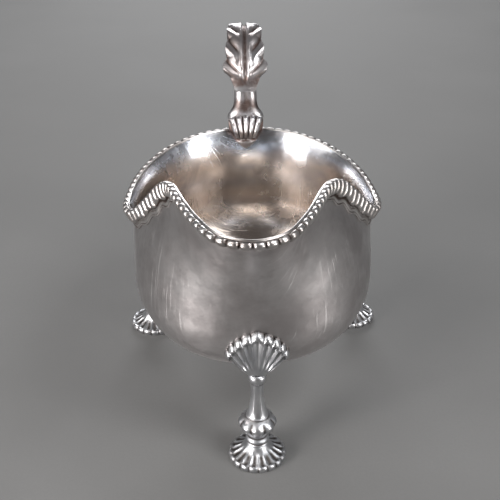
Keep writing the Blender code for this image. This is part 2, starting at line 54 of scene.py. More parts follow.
# The bowl -----------------------------------------------------------------------------------------

SHEET = 1.1
JOINT = 0.03  # between pieces that are soldered together
BOWL_AXIS_Y = 6.0
BOWL_FLOOR_Z = 21.0
BELLY_Z = 52.3
BELLY_HALF_WIDTH = 44.0
BELLY_FRONT = 51.8
BELLY_REAR = 52.2
BELLY_SQUARENESS = 2.3
BELLY_FULLNESS = 0.94
LIP_FLARE = 3.0
LIP_FLARE_FROM = 0.74
REAR_FLARE_FROM = 0.55
LIP_LEAN = 2.4
LEAN_FROM, LEAN_WHOLE = 5, 45  # how far in front of the middle the lean starts, and is whole
SHEET_EDGE_DOWN = 0.75
PLANISHING = 0.045  # how deep the marks of the planishing hammer are
BOWL_AROUND = 480
BELLY_RINGS = 34
WALL_RINGS = 48
WALL_SPACING = 0.9  # below 1, the wall's rings lie closer together towards the rim
RIM_SAMPLES = 1201
REACH_ROUNDS = 14  # rounds in which outer_reach closes in on the bowl's outside
LEAST_SLOPE = 0.3

# The top inner edge of the rim, from the tip of the lip round the +X side to the back.
RIM_HALF = [
    (0, -71.0, 102.7),
    (9.5, -67.3, 102.8),
    (16.3, -56.5, 103.2),
    (20.0, -47.5, 103.5),
    (22.6, -39.5, 103.4),
    (25.2, -32.0, 102.6),
    (28.0, -26.0, 100.2),
    (31.0, -21.5, 96.8),
    (34.5, -17.0, 91.8),
    (38.0, -12.5, 86.9),
    (41.0, -8.5, 82.8),
    (43.4, -4.5, 79.5),
    (45.5, 0.0, 78.2),
    (46.4, 6.0, 77.5),
    (46.1, 14.0, 77.3),
    (44.0, 26.5, 78.0),
    (39.8, 37.5, 79.1),
    (32.8, 47.8, 80.8),
    (22.2, 57.0, 82.2),
    (11.0, 62.0, 82.9),
    (0, 63.5, 83.0),
]
RIM_NOTCH = 11  # which of those points is the corner between the lip and the side
RIM_FRAMES = (27, 20)  # how many places along the lip and along the side fix the border's slant
SLANT_ROUNDS = 8  # rounds of evening out that slant from place to place

# The gadroon border -------------------------------------------------------------------------------

BORDER_FACE = 3.2
LOBE_PITCH = 3.7
LOBE_STATIONS = 16
# Points of the border's section: across its plain band, over its lobes, and down the mouldings below them.
BAND_POINTS = 7
LOBE_POINTS = 24
COVE_POINTS = 14
# Dark under the lobes and in the coves, partly tarnish and partly painted shade; the last dark value, at the
# foot of the mouldings, is painted shade where the border meets the bowl.
COVE_TONING_AND_SHADE = [0.9, 1.0, 0.35, 0.1, 0.9, 0.3, 0.2, 0.8]  # down the mouldings under the lobes
WAVE_LENGTH = 10.5  # the border's lower edge is waved over the shoulders
WAVE_DEPTH = 0.6

# Legs ---------------------------------------------------------------------------------------------


class Leg(NamedTuple):
    azimuth: float  # degrees from the lip, towards +X
    foot_reach: float  # from the bowl's axis to the middle of the foot


LEGS = {"front": Leg(0.0, 54.5), "right": Leg(127.7, 57.3), "left": Leg(-127.7, 53.5)}
KNEE_APEX_Z = 35.3
KNEE_TALL = 18.4
KNEE_STEM_HALF = 2.9
KNEE_DROP = 5.6
KNEE_FAN = 50.0
KNEE_FLUTES = 9
KNEE_FLUTE_DEPTH = 1.9
KNEE_ROLL = 0.55  # how far the lobes along the knee's edge stand out
KNEE_SCALLOP = 0.9
KNEE_STANDS_OUT = 2.8
KNEE_LEAN = 1.1
KNEE_SWELL = 1.3
KNEE_CROWN_RADIUS = 22.0
KNEE_LEAST = 2.2
KNEE_MIDDLE_FLUTE = 0.14  # half the middle flute's width, as a share of half the fan
KNEE_MOST = 5.8
STEM_INSET = 1.9
STEM_FOOT_Z = 6.9
KNOP_LOBES = 8
KNOP_CREASE = 0.1  # depth of the creases between the knop's lobes, as a share of its radius
WAIST_SIDES = 6
# (height, half width) of the stem's turned creases
STEM_CREASES = [(31.2, 0.5), (17.7, 0.6), (9.9, 0.7), (7.6, 0.4)]
FOOT_FLUTES = 18
FOOT_FLUTE_DEPTH = 0.5

# (height, radius): ball collar, waist, knop, ring collar, peg
STEM_PROFILE = [
    (35.0, 0.6),
    (34.9, 1.8),
    (34.6, 2.6),
    (33.8, 3.15),
    (32.6, 3.2),
    (31.6, 2.85),
    (31.1, 2.5),
    (30.8, 2.4),
    (29.6, 2.25),
    (26.5, 2.2),
    (23.4, 2.5),
    (21.6, 2.85),
    (19.6, 3.4),
    (18.4, 3.8),
    (18.0, 4.2),
    (17.5, 4.2),
    (17.2, 4.6),
    (16.7, 5.7),
    (15.9, 6.7),
    (14.9, 7.0),
    (13.9, 6.7),
    (12.8, 5.7),
    (11.8, 4.6),
    (10.8, 3.85),
    (9.6, 3.65),
    (9.2, 3.8),
    (8.8, 4.15),
    (8.2, 4.2),
    (7.8, 3.85),
    (7.4, 3.9),
    (6.9, 4.1),
    (6.72, 3.5),
]
# (radius, height): the domed top of a foot, from under the stem to the edge of its base
FOOT_PROFILE = [
    (2.6, 6.55),
    (3.6, 6.65),
    (4.1, 6.35),
    (4.6, 5.7),
    (5.4, 4.85),
    (6.4, 4.15),
    (7.8, 3.3),
    (9.0, 2.75),
    (9.8, 2.3),
    (10.25, 1.6),
    (10.3, 0.9),
    (10.0, 0.3),
    (9.7, 0.0),
]

# The handle ---------------------------------------------------------------------------------------

HANDLE_X = -1.0
SEAM = 0.01
# (y, z, half width, half depth), from the rim over the top and down to a curled end
HANDLE_LINE = [
    (64.0, 83.45, 6.0, 3.2),
    (64.3, 87.6, 7.5, 3.2),
    (65.2, 92.0, 5.2, 3.2),
    (67.4, 99.0, 4.4, 3.3),
    (71.6, 106.5, 4.6, 3.6),
    (78.4, 112.6, 4.6, 3.8),
    (87.5, 114.9, 4.6, 3.9),
    (96.0, 111.0, 4.6, 3.9),
    (101.4, 102.0, 4.6, 3.8),
    (102.0, 91.5, 4.5, 3.6),
    (97.8, 80.8, 4.3, 3.4),
    (89.5, 71.5, 4.0, 3.2),
    (80.0, 64.2, 3.8, 3.0),
    (71.0, 57.4, 3.7, 2.9),
    (65.3, 50.8, 3.7, 2.9),
    (62.7, 44.6, 3.9, 3.0),
    (63.8, 38.6, 3.6, 2.6),
    (67.8, 35.4, 2.8, 2.0),
    (71.2, 37.4, 2.2, 1.6),
]
# (percent of the handle's length, half width, thickness)
LEAF_LINE = [
    (10.2, 4.1, 0.4),
    (12.5, 5.4, 0.9),
    (14.2, 6.9, 1.5),
    (15.4, 8.5, 2.1),
    (16.8, 9.0, 2.4),
    (18.5, 8.4, 2.2),
    (20.5, 7.8, 2.1),
    (24.0, 7.3, 2.1),
    (30.0, 6.6, 2.0),
    (36.0, 5.8, 1.9),
    (42.0, 4.8, 1.6),
    (47.0, 3.2, 1.2),
    (50.0, 0.8, 0.5),
]
LEAF_FROM = 13.4  # where the leaf's lobes begin, in percent of the handle's length
LEAF_PITCH = 5.2  # from one lobe to the next, also in percent
PLATE_Z = 44.0
PLATE_HALF_WIDTH = 6.2
PLATE_HALF_HEIGHT = 8.0
SHELL_ABOVE_RIM = 6.0
SHELL_BELOW_RIM = 7.8
SHELL_HALF_WIDTH = 7.3

# Curves and meshes --------------------------------------------------------------------------------


def smooth_line(points, count, mirrored=False):
    """count points, evenly spaced, on the centripetal Catmull-Rom curve through points.

    A mirrored line goes on past both ends as its own mirror image in X, so it meets the middle plane square.
    """
    points = np.asarray(points, float)
    ends = (2 * points[:1] - points[1:2], 2 * points[-1:] - points[-2:-1])
    if mirrored:
        ends = (points[1:2] * [-1, 1, 1], points[-2:-1] * [-1, 1, 1])
    padded = np.concatenate([ends[0], points, ends[1]])
    knots = np.concatenate([[0], np.cumsum(np.linalg.norm(np.diff(padded, axis=0), axis=1) ** 0.5)])
    fine = []
    for i in range(1, len(padded) - 2):
        t0, t1, t2, t3 = knots[i - 1 : i + 3]
        t = np.linspace(t1, t2, 40, endpoint=False)[:, None]
        a1 = padded[i - 1] + (t - t0) / (t1 - t0) * (padded[i] - padded[i - 1])
        a2 = padded[i] + (t - t1) / (t2 - t1) * (padded[i + 1] - padded[i])
        a3 = padded[i + 1] + (t - t2) / (t3 - t2) * (padded[i + 2] - padded[i + 1])
        b1 = a1 + (t - t0) / (t2 - t0) * (a2 - a1)
        b2 = a2 + (t - t1) / (t3 - t1) * (a3 - a2)
        fine.append(b1 + (t - t1) / (t2 - t1) * (b2 - b1))
    fine = np.concatenate([*fine, points[-1:]])
    along = np.concatenate([[0], np.cumsum(np.linalg.norm(np.diff(fine, axis=0), axis=1))])
    at = np.linspace(0, along[-1], count)
    return np.stack([np.interp(at, along, fine[:, k]) for k in range(points.shape[1])], axis=1)


def through(controls, count):
    """count samples along the curve through controls, whose first axis runs along it."""
    controls = np.asarray(controls, float)
    at = np.linspace(0, len(controls) - 1, count)
    left = np.minimum(at.astype(int), len(controls) - 2)
    t = at - left
    basis = [(2 - t) * t - 1, (3 * t - 5) * t * t + 2, (4 - 3 * t) * t * t + t, (t - 1) * t * t]
    basis[0] = -t * (1 - t) ** 2
    weights = np.zeros((count, len(controls)))
    for k, share in enumerate(basis):
        np.add.at(weights, (np.arange(count), np.clip(left - 1 + k, 0, len(controls) - 1)), share / 2)
    return np.tensordot(weights, controls, axes=1)


def unit(vectors):
    return vectors / np.maximum(np.linalg.norm(vectors, axis=-1, keepdims=True), 1e-12)


def ramp(value, low, high):
    """0 up to low, 1 from high, and smooth in between."""
    t = np.clip((value - low) / (high - low), 0, 1)
    return t * t * (3 - 2 * t)


def bump(value, middle, half):
    """1 at the middle, falling smoothly to 0."""
    return np.exp(-(((value - middle) / half) ** 2))


def grid_faces(rows, columns, first=0, closed_columns=False):
    """Quads over a grid of points kept row by row."""
    i = np.arange(rows - 1)[:, None] * columns
    j = np.arange(columns if closed_columns else columns - 1)[None, :]
    k = (j + 1) % columns
    quads = np.stack([i + j, i + k, i + columns + k, i + columns + j], axis=-1) + first
    return quads.reshape(-1, 4).tolist()


def add_piece(name, points, faces, toning_and_shade, material, node):
    """A closed mesh that stands for a CAD node. toning_and_shade is how dark each point is, from 0 to 1:
    tarnish in the hollows, and in some places painted shade.
    """
    mesh = bpy.data.meshes.new(name)
    mesh.from_pydata(((np.asarray(points).reshape(-1, 3) + ORIGIN) * MM).tolist(), [], faces)
    mesh.update()
    if enclosed_volume(mesh) < 0:
        mesh.flip_normals()
    shade = mesh.attributes.new("toning_and_shade", "FLOAT", "POINT")
    shade.data.foreach_set("value", np.clip(np.asarray(toning_and_shade, float).ravel(), 0, 1))
    mesh.shade_smooth()
    mesh.set_sharp_from_angle(angle=math.radians(60))
    mesh.materials.append(material)
    piece = bpy.data.objects.new(name, mesh)
    bpy.context.scene.collection.objects.link(piece)
    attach(piece, "root")
    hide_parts(node)
    return piece


def enclosed_volume(mesh):
    mesh.calc_loop_triangles()
    corners = np.empty(len(mesh.loop_triangles) * 3, np.int32)
    mesh.loop_triangles.foreach_get("vertices", corners)
    places = np.empty(len(mesh.vertices) * 3, np.float32)
    mesh.vertices.foreach_get("co", places)
    a, b, c = np.moveaxis(places.reshape(-1, 3)[corners.reshape(-1, 3)].astype(float), 1, 0)
    return float(np.sum(a * np.cross(b, c)))


def add_tube(name, sections, toning_and_shade, material, node):
    """A closed piece through rings of the same number of points."""
    sections = np.asarray(sections)
    rings, around = sections.shape[:2]
    faces = grid_faces(rings, around, closed_columns=True)
    faces += [list(range(around))[::-1], list(range((rings - 1) * around, rings * around))]
    toning_and_shade = np.broadcast_to(toning_and_shade, (rings, around))
    return add_piece(name, sections, faces, toning_and_shade, material, node)


def add_slab(name, front, back, toning_and_shade, material, slot, node):
    """A closed piece between two grids of points of the same size."""
    rows, columns = front.shape[:2]
    count = rows * columns
    faces = grid_faces(rows, columns)
    faces += [f[::-1] for f in grid_faces(rows, columns, count)]
    border = list(range(columns))
    border += [i * columns + columns - 1 for i in range(1, rows)]
    border += [(rows - 1) * columns + j for j in range(columns - 2, -1, -1)]
    border += [i * columns for i in range(rows - 2, 0, -1)]
    for a, b in zip(border, border[1:] + border[:1]):
        faces.append([b, a, a + count, b + count])
    toning_and_shade = np.broadcast_to(toning_and_shade, (rows, columns))
    points = np.concatenate([front.reshape(-1, 3), back.reshape(-1, 3)])
    return add_piece(name, points, faces, np.concatenate([toning_and_shade, toning_and_shade]), material, node)


# The bowl -----------------------------------------------------------------------------------------


def leaned(points):
    """The lip was raised by hand and leans to one side."""
    points = np.array(points, float)
    points[..., 0] -= LIP_LEAN * ramp(-points[..., 1], LEAN_FROM, LEAN_WHOLE)
    return points


def plan_direction(points):
    return unit(points[..., :2] - [0, BOWL_AXIS_Y])


def plan_angle(direction):
    """0 towards the lip, growing towards +X."""
    return np.arctan2(direction[..., 0], -direction[..., 1])


def belly_radius(direction):
    power = BELLY_SQUARENESS
    reach = np.where(direction[..., 1] < 0, BELLY_FRONT, BELLY_REAR)
    across = np.abs(direction[..., 0] / BELLY_HALF_WIDTH) ** power
    return (across + np.abs(direction[..., 1] / reach) ** power) ** (-1 / power)


def rim_at(direction):
    """Radius and height of the rim for unit directions in plan."""
    wanted = plan_angle(direction)
    turn = 2 * math.pi
    return np.interp(wanted, *RIM_RADII, period=turn), np.interp(wanted, *RIM_HEIGHTS, period=turn)


def skin_radius(direction, height):
    """The bowl's inside radius from the axis, for a direction in plan and a height."""
    low = belly_radius(direction)
    rim_radius, rim_height = rim_at(direction)
    share = np.clip((height - BELLY_Z) / (rim_height - BELLY_Z), 0, 1.05)
    rearward = ramp(direction[..., 1], 0.2, 0.9)
    starts = LIP_FLARE_FROM + (REAR_FLARE_FROM - LIP_FLARE_FROM) * rearward
    flare = np.clip((share - starts) / (1 - starts), 0, None) ** 2
    wall = low + (rim_radius - LIP_FLARE - low) * share**2 + LIP_FLARE * flare
    drop = np.clip((height - BOWL_FLOOR_Z) / (BELLY_Z - BOWL_FLOOR_Z), 0, 1)
    under = low * np.sin(np.arccos(1 - drop)) ** BELLY_FULLNESS
    return np.where(height > BELLY_Z, wall, under)


def skin_point(direction, height):
    radius = skin_radius(direction, height)
    x = direction[..., 0] * radius
    y = BOWL_AXIS_Y + direction[..., 1] * radius
    return np.stack([x, y, height + 0 * radius], -1)


def skin_normal(direction, height):
    """The outward normal of the bowl's skin."""
    step, rise = 0.01, 0.3
    around = skin_point(spin(direction, step), height) - skin_point(spin(direction, -step), height)
    up = skin_point(direction, height + rise) - skin_point(direction, height - rise)
    return unit(np.cross(around, up))


def spin(direction, angle):
    c, s = math.cos(angle), math.sin(angle)
    x, y = direction[..., 0], direction[..., 1]
    return np.stack([x * c - y * s, x * s + y * c], -1)


def planished(points):
    """The shallow unevenness that a planishing hammer leaves, along the skin's normal."""
    x, y, z = np.moveaxis(points, -1, 0)
    broad = np.sin(0.27 * x + 0.9 + 0.6 * np.sin(0.13 * z)) * np.sin(0.31 * z + 0.4 + 0.5 * np.sin(0.17 * x))
    small = np.sin(0.61 * x + 0.37 * y + 1.7) * np.sin(0.53 * z - 0.41 * y + 0.2)
    return PLANISHING * (broad + 0.45 * small)


def build_bowl(material):
    """The raised bowl: one sheet of silver, inside and outside skins joined under the border."""
    loop = RIM[np.linspace(0, len(RIM), BOWL_AROUND, endpoint=False).round().astype(int)]
    direction = plan_direction(loop)
    _, rim_height = rim_at(direction)
    along = unit(np.roll(loop, -1, axis=0) - np.roll(loop, 1, axis=0))
    level = np.linalg.norm(along[:, :2], axis=1)
    turns = np.linspace(0, math.pi / 2, BELLY_RINGS)[1:]
    heights = [BOWL_FLOOR_Z + (BELLY_Z - BOWL_FLOOR_Z) * (1 - math.cos(t)) + 0 * rim_height for t in turns]
    top = rim_height - SHEET_EDGE_DOWN / level
    shares = np.linspace(0, 1, WALL_RINGS)[1:] ** WALL_SPACING
    heights += [BELLY_Z + (top - BELLY_Z) * share for share in shares]
    heights = np.array(heights)
    direction = np.broadcast_to(direction, heights.shape + (2,))
    skin, normal = skin_point(direction, heights), skin_normal(direction, heights)
    settle = 1 - ramp(heights, top - 6, top - 1)
    hammered = normal * (planished(skin) * settle)[..., None]
    inner, outer = skin + hammered, skin + hammered + normal * SHEET
    levels, around = heights.shape
    middle = np.array([[0, BOWL_AXIS_Y, BOWL_FLOOR_Z - SHEET], [0, BOWL_AXIS_Y, BOWL_FLOOR_Z]])
    points = np.concatenate([outer.reshape(-1, 3), inner.reshape(-1, 3), middle])
    first, last = levels * around, (levels - 1) * around
    faces = grid_faces(levels, around, closed_columns=True)
    faces += [f[::-1] for f in grid_faces(levels, around, first, closed_columns=True)]
    for j in range(around):
        k = (j + 1) % around
        faces.append([last + j, last + k, first + last + k, first + last + j])
        faces.append([2 * first, k, j])
        faces.append([2 * first + 1, first + j, first + k])
    # Painted shade: a darker band on the outside just under the border, where the border overhangs the wall.
    shade_below_border = 0.75 * bump(heights, top - 4.2, 2.4)
    toning_and_shade = np.concatenate([shade_below_border.ravel(), 0.35 * bump(heights, BOWL_FLOOR_Z, 9).ravel(), [0, 0.35]])
    bowl = add_piece("raised_bowl", points, faces, toning_and_shade, material, "bowl")
    inside = np.repeat([0.0, 1.0], first)
    bowl.data.attributes.new("inside", "FLOAT", "POINT").data.foreach_set("value", [*inside, 0.0, 1.0])


# The gadroon border -------------------------------------------------------------------------------


def band_width(y):
    """The plain band inside the lobes: broad at the lip, nearly nothing from the shoulders back."""
    return 0.4 + 0.5 * ramp(-y, 26, 46)


def lobe_length(y):
    """How deep the lobes are: short at the lip, long over the shoulders, middling along the sides."""
    return 3.5 + 1.4 * ramp(y, -44, -22) + 1.2 * ramp(y, -22, -6) - 2.4 * ramp(y, 0, 30)


def cove_height(y):
    return 0.9 + 2.1 * ramp(y, -42, -22) - 0.9 * ramp(y, 2, 30)


def rim_frames():
    """At a few places on the rim: the share of the way along its side, and two directions.

    They point out of the wall and down it, and fix the border's slant.
    """
    notch = notch_index()
    front, side = RIM_FRAMES
    marks = [np.linspace(0, notch, front), np.linspace(notch, len(HALF) - 1, side)[1:]]
    marks = np.concatenate(marks).round().astype(int)
    loop = leaned(np.concatenate([HALF[marks], HALF[marks[-2:0:-1]] * [-1, 1, 1]]))
    along = unit(np.roll(loop, -1, axis=0) - np.roll(loop, 1, axis=0))
    normal = skin_normal(plan_direction(loop), loop[:, 2] - 0.4)
    out = unit(normal - along * np.sum(normal * along, axis=1, keepdims=True))
    down = unit(np.cross(along, out))
    down *= np.sign(-down[:, 2:])
    for _ in range(SLANT_ROUNDS):
        down = unit(down + np.roll(down, 1, axis=0) + np.roll(down, -1, axis=0))
    return marks / (len(HALF) - 1), out, down


def between_frames(share, shares, directions):
    """Unit directions at each share, blended between the ones known at shares."""
    return unit(np.stack([np.interp(share, shares, directions[:, k]) for k in range(3)], axis=1))


def notch_index():
    return int(np.argmin(np.linalg.norm(HALF - RIM_HALF[RIM_NOTCH], axis=1)))


def border_profile(band, length, cove, bulge):
    """The border's section at each station, as (across, depth) pairs, from the band round to the back."""
    face, lap = BORDER_FACE + 0 * band, SHEET + JOINT + 0 * band
    flat = 0 * band
    incised = 0.1 * ramp(band, 0.6, 0.85)
    inner = [
        (flat, flat + SHEET_EDGE_DOWN - JOINT),
        (flat, flat + 0.1),
        (flat + 0.1, flat),
        (0.50 * band, flat),
        (0.56 * band, incised),
        (0.62 * band, flat),
        (band - 0.1, flat),
    ]
    middle = 0.5 * (band + face)
    ridge = [
        (band, flat + 0.28),
        (band + 0.08, flat - 0.1),
        (band + 0.42, flat - 0.48),
        (middle + 0.15, flat - 0.62),
        (face - 0.3, flat - 0.32),
        (face + 0.1, 0.18 * length),
        (face + 0.2, 0.45 * length),
        (face + 0.02, 0.74 * length),
        (face - 0.5, 0.96 * length),
        (face - 1.0, length + 0.1),
    ]
    groove = [
        (band, flat + 0.28),
        (band + 0.25, flat + 0.36),
        (band + 0.5, flat + 0.4),
        (middle - 0.1, flat + 0.5),
        (face - 1.0, flat + 0.7),
        (face - 0.95, 0.34 * length),
        (face - 0.9, 0.5 * length),
        (face - 0.92, 0.74 * length),
        (face - 1.0, 0.9 * length),
        (face - 1.06, length),
    ]
    outer = [
        (face - 1.5, length + 0.12),
        (face - 1.85, length + 0.24 * cove),
        (face - 1.45, length + 0.44 * cove),
        (face - 1.4, length + 0.6 * cove),
        (face - 1.8, length + 0.76 * cove),
        (lap + 0.45, length + 0.86 * cove),
        (lap + 0.45, length + 0.95 * cove),
        (lap + 0.15, length + cove + 0.05),
        (lap, length + cove + 0.05),
    ]
    lobed = through(ridge, LOBE_POINTS) * bulge + through(groove, LOBE_POINTS) * (1 - bulge)
    back = np.stack([(lap, flat + SHEET_EDGE_DOWN - JOINT)])
    return np.concatenate([np.stack(inner), lobed, through(outer, COVE_POINTS), back])


def build_border(name, hand, start, end, material):
    """One length of border, from start to end along one side of the rim, both as shares of that side."""
    span = end - start
    lobes = round(span * HALF_LENGTH / LOBE_PITCH)
    count = lobes * LOBE_STATIONS + 1
    trim = JOINT / 2 / HALF_LENGTH
    share = np.linspace(start + trim, end - trim, count)
    phase = np.arange(count) / LOBE_STATIONS % 1
    bulge = (1 - np.minimum(np.abs(2 * phase - 1) / 0.94, 1) ** 3) ** 0.6
    at = np.linspace(0, 1, len(HALF))
    line = np.stack([np.interp(share, at, HALF[:, k]) for k in range(3)], axis=1)
    point = leaned(line * [hand, 1, 1])
    shares, out, down = FRAMES
    pick = hand * np.arange(len(shares)) % len(out)
    out = between_frames(share, shares, out[pick])
    down = between_frames(share, shares, down[pick])
    y = point[:, 1]
    band, cove = band_width(y), cove_height(y)
    shoulder = ramp(y, -33, -25) * (1 - ramp(y, -7, -3))
    travelled = (share - notch_index() / (len(HALF) - 1)) * HALF_LENGTH
    length = lobe_length(y) + WAVE_DEPTH * shoulder * np.cos(2 * math.pi * travelled / WAVE_LENGTH)
    profile = border_profile(band, length, cove, bulge)
    across, depth = np.moveaxis(profile, 1, 0)[..., None]
    free = point + down * depth
    direction = plan_direction(free)
    on_skin = skin_point(direction, free[..., 2])
    settled = ramp(depth, 0, 1.2)
    place = free + (on_skin - free) * settled
    away = unit(out + (skin_normal(direction, free[..., 2]) - out) * ramp(depth, 0, 7))
    sections = np.swapaxes(place + away * across, 0, 1)
    toning_and_shade = np.zeros(profile.shape[:1] + (count,))
    lobes_end = BAND_POINTS + LOBE_POINTS
    toning_and_shade[BAND_POINTS:lobes_end] = 0.9 * (1 - bulge) ** 0.7
    toning_and_shade[BAND_POINTS - 1 : BAND_POINTS + 2] = 0.6
    toning_and_shade[lobes_end : lobes_end + COVE_POINTS] = through(COVE_TONING_AND_SHADE, COVE_POINTS)[:, None]
    add_tube(name, sections, toning_and_shade.T, material, name.replace("lobed_", ""))


# Legs ---------------------------------------------------------------------------------------------


def leg_frame(azimuth):
    """Unit vectors in plan for a leg: out from the bowl's axis, and across."""
    turn = math.radians(azimuth)
    return np.array([math.sin(turn), -math.cos(turn)]), np.array([math.cos(turn), math.sin(turn)])


def leg_point(leg, reach, side, height):
    """A point so far out from the bowl's axis, to the side of the leg's plane, and up."""
    outward, across = leg_frame(leg.azimuth)
    reach, side, height = np.broadcast_arrays(reach, side, height)
    x = outward[0] * reach + across[0] * side
    y = BOWL_AXIS_Y + outward[1] * reach + across[1] * side
    return np.stack([x, y, height], axis=-1)


def outer_reach(azimuth, side, height, thickness=SHEET):
    """How far out the bowl's outside is, at a distance to the side of a leg's plane and a height."""
    outward, across = leg_frame(azimuth)
    side, height = np.broadcast_arrays(side, height)
    reach = np.full(side.shape, BELLY_HALF_WIDTH)
    for _ in range(REACH_ROUNDS):
        direction = unit(reach[..., None] * outward + side[..., None] * across)
        slope = np.sum(skin_normal(direction, height)[..., :2] * direction, axis=-1)
        radius = skin_radius(direction, height) + thickness / np.maximum(slope, LEAST_SLOPE)
        reach = np.sqrt(np.maximum(radius**2 - side**2, 0))
    return reach


def knee_reach(leg):
    """How far out the top of the stem is."""
    return float(outer_reach(leg.azimuth, np.array(0.0), np.array(BELLY_Z))) - STEM_INSET


def build_knee(name, leg, material):
    """A fan of concave flutes that end in a rolled, scalloped edge."""
    per_flute, rows = 16, 96
    columns = KNEE_FLUTES * per_flute + 1
    flute = np.linspace(-KNEE_FLUTES / 2, KNEE_FLUTES / 2, columns)
    turn = np.interp(np.abs(flute), [0, 0.5, KNEE_FLUTES / 2], [0, KNEE_MIDDLE_FLUTE, 1]) * np.sign(flute)
    turn = turn[None, :]
    share = np.linspace(0, 1, rows)[:, None]
    phase = (np.arange(columns) / per_flute % 1)[None, :]
    hollow = np.sin(math.pi * phase)
    fan = math.radians(KNEE_FAN)
    inner = KNEE_STEM_HALF / math.sin(fan)
    outline = KNEE_TALL + inner * math.cos(fan) - KNEE_DROP * np.abs(turn) ** 1.3
    outline = outline - KNEE_SCALLOP * (1 - hollow**0.6)
    along = inner + (outline - inner) * share
    side = along * np.sin(fan * turn)
    up = along * np.cos(fan * turn) - inner * math.cos(fan)
    up = np.where(share > 0, np.maximum(up, 0), 0)
    height = KNEE_APEX_Z + up
    skin = outer_reach(leg.azimuth, side, height)
    rise = np.clip(up / KNEE_TALL, 0, 1)
    spine = knee_reach(leg) + KNEE_STANDS_OUT + KNEE_LEAN * rise + KNEE_SWELL * np.sin(math.pi * rise)
    crowned = np.maximum(spine - side**2 / (2 * KNEE_CROWN_RADIUS), skin + KNEE_LEAST)
    fluted = ramp(share, 0.0, 0.45) * (1 - ramp(share, 0.76, 0.86))
    depth = KNEE_FLUTE_DEPTH * hollow * fluted * (0.3 + 0.7 * share)
    roll = KNEE_ROLL * np.sin(math.pi * np.clip((share - 0.78) / 0.24, 0, 1)) * (0.45 + 0.55 * hollow**0.7)
    crease = 0.35 * (1 - hollow) ** 2 * ramp(share, 0.8, 0.9)
    rounded = np.sqrt(1 - np.clip((share - 0.86) / 0.142, 0, 0.985) ** 2)
    rounded = rounded * np.sqrt(1 - np.clip((np.abs(turn) - 0.975) / 0.026, 0, 0.97) ** 2)
    front = skin + JOINT + (crowned - depth + roll - crease - skin - JOINT) * rounded
    back = np.maximum(skin + JOINT, np.minimum(front - 0.2, crowned - KNEE_MOST))
    front = np.maximum(front, back + 0.15)
    # Painted shade: the knee's outer edge and its sides are darkened where they round down onto the bowl.
    outline = 0.7 * ramp(share, 0.93, 1.0) + 0.6 * ramp(np.abs(turn), 0.93, 1.0)
    toning_and_shade = 0.9 * hollow**1.2 * fluted * (0.1 + 0.9 * share**2) + 0.9 * crease + outline
    places = leg_point(leg, front, side, height), leg_point(leg, back, side, height)
    add_slab("fluted_" + name, *places, toning_and_shade, material, "cast_silver", name)


def stem_reach(leg, height):
    """The leg leans out in a straight line from the knee to the foot."""
    share = np.clip((height - STEM_FOOT_Z) / (KNEE_APEX_Z - STEM_FOOT_Z), 0, 1)
    return leg.foot_reach + (knee_reach(leg) - leg.foot_reach) * share


def build_stem(name, leg, material):
    """A turned stem with a softly faceted waist and a lobed knop."""
    around = 96
    angle = np.arange(around)[None, :] * 2 * math.pi / around
    height, radius = through(STEM_PROFILE, 220).T[..., None]
    facet = 2 * math.pi / WAIST_SIDES
    off_middle = (angle + facet / 2) % facet - facet / 2
    polygon = math.cos(facet / 3) / np.cos(off_middle) - 1
    waist = ramp(height, 19, 21.5) * (1 - ramp(height, 29, 30.8))
    knop = ramp(height, 10.6, 12.2) * (1 - ramp(height, 16.6, 17.2))
    crease = 1 - np.abs(np.cos(KNOP_LOBES / 2 * angle)) ** 0.9
    radius = radius * (1 + 0.65 * polygon * waist - KNOP_CREASE * crease * knop)
    reach = stem_reach(leg, height)
    sections = leg_point(leg, reach + radius * np.cos(angle), radius * np.sin(angle), height)
    rings = sum(bump(height, middle, half) for middle, half in STEM_CREASES)
    toning_and_shade = 0.8 * rings + 0.95 * crease**1.5 * knop + 0.3 * waist
    add_tube("knopped_" + name, sections, toning_and_shade, material, name)


def build_foot(name, leg, material):
    """A domed shell foot, fluted down to a scalloped edge."""
    per_flute = 14
    around = FOOT_FLUTES * per_flute
    angle = np.arange(around)[None, :] * 2 * math.pi / around
    radius, height = through(FOOT_PROFILE, 72).T[..., None]
    hollow = np.sin(math.pi * (np.arange(around) / per_flute % 1))[None, :]
    fluted = ramp(radius, 4.4, 6.6) * ramp(height, 0.4, 2.2)
    edge = ramp(radius, 8.6, 10.1)
    drop = FOOT_FLUTE_DEPTH * hollow**0.9 * fluted * (1 - 0.75 * edge)
    scallop = (0.5 * hollow**0.6 - 0.35) * edge
    lobe = 0.35 * hollow**0.7 * edge * ramp(height, 0.5, 1.8)
    radius = radius + scallop
    height = height - drop + lobe
    sections = leg_point(leg, leg.foot_reach + radius * np.cos(angle), radius * np.sin(angle), height)
    toning_and_shade = 0.95 * hollow**1.3 * fluted * (1 - edge) + 0.7 * (1 - hollow) ** 2 * edge + 0.2 * edge
    add_tube("fluted_" + name, sections, toning_and_shade, material, name)


# The handle ---------------------------------------------------------------------------------------


def handle_line(share):
    """The handle's middle line, the direction out of its outer face, its half width and half depth."""
    table = smooth_line(HANDLE_LINE, 600)
    at = np.linspace(0, 1, len(table))
    y, z, width, depth = (np.interp(share, at, table[:, k]) for k in range(4))
    slope_y = np.interp(share, at, np.gradient(table[:, 0]))
    slope_z = np.interp(share, at, np.gradient(table[:, 1]))
    along = unit(np.stack([0 * share, slope_y, slope_z], axis=1))
    outer = np.stack([0 * share, -along[:, 2], along[:, 1]], axis=1)
    return np.stack([HANDLE_X + 0 * share, y, z], axis=1), outer, width, depth


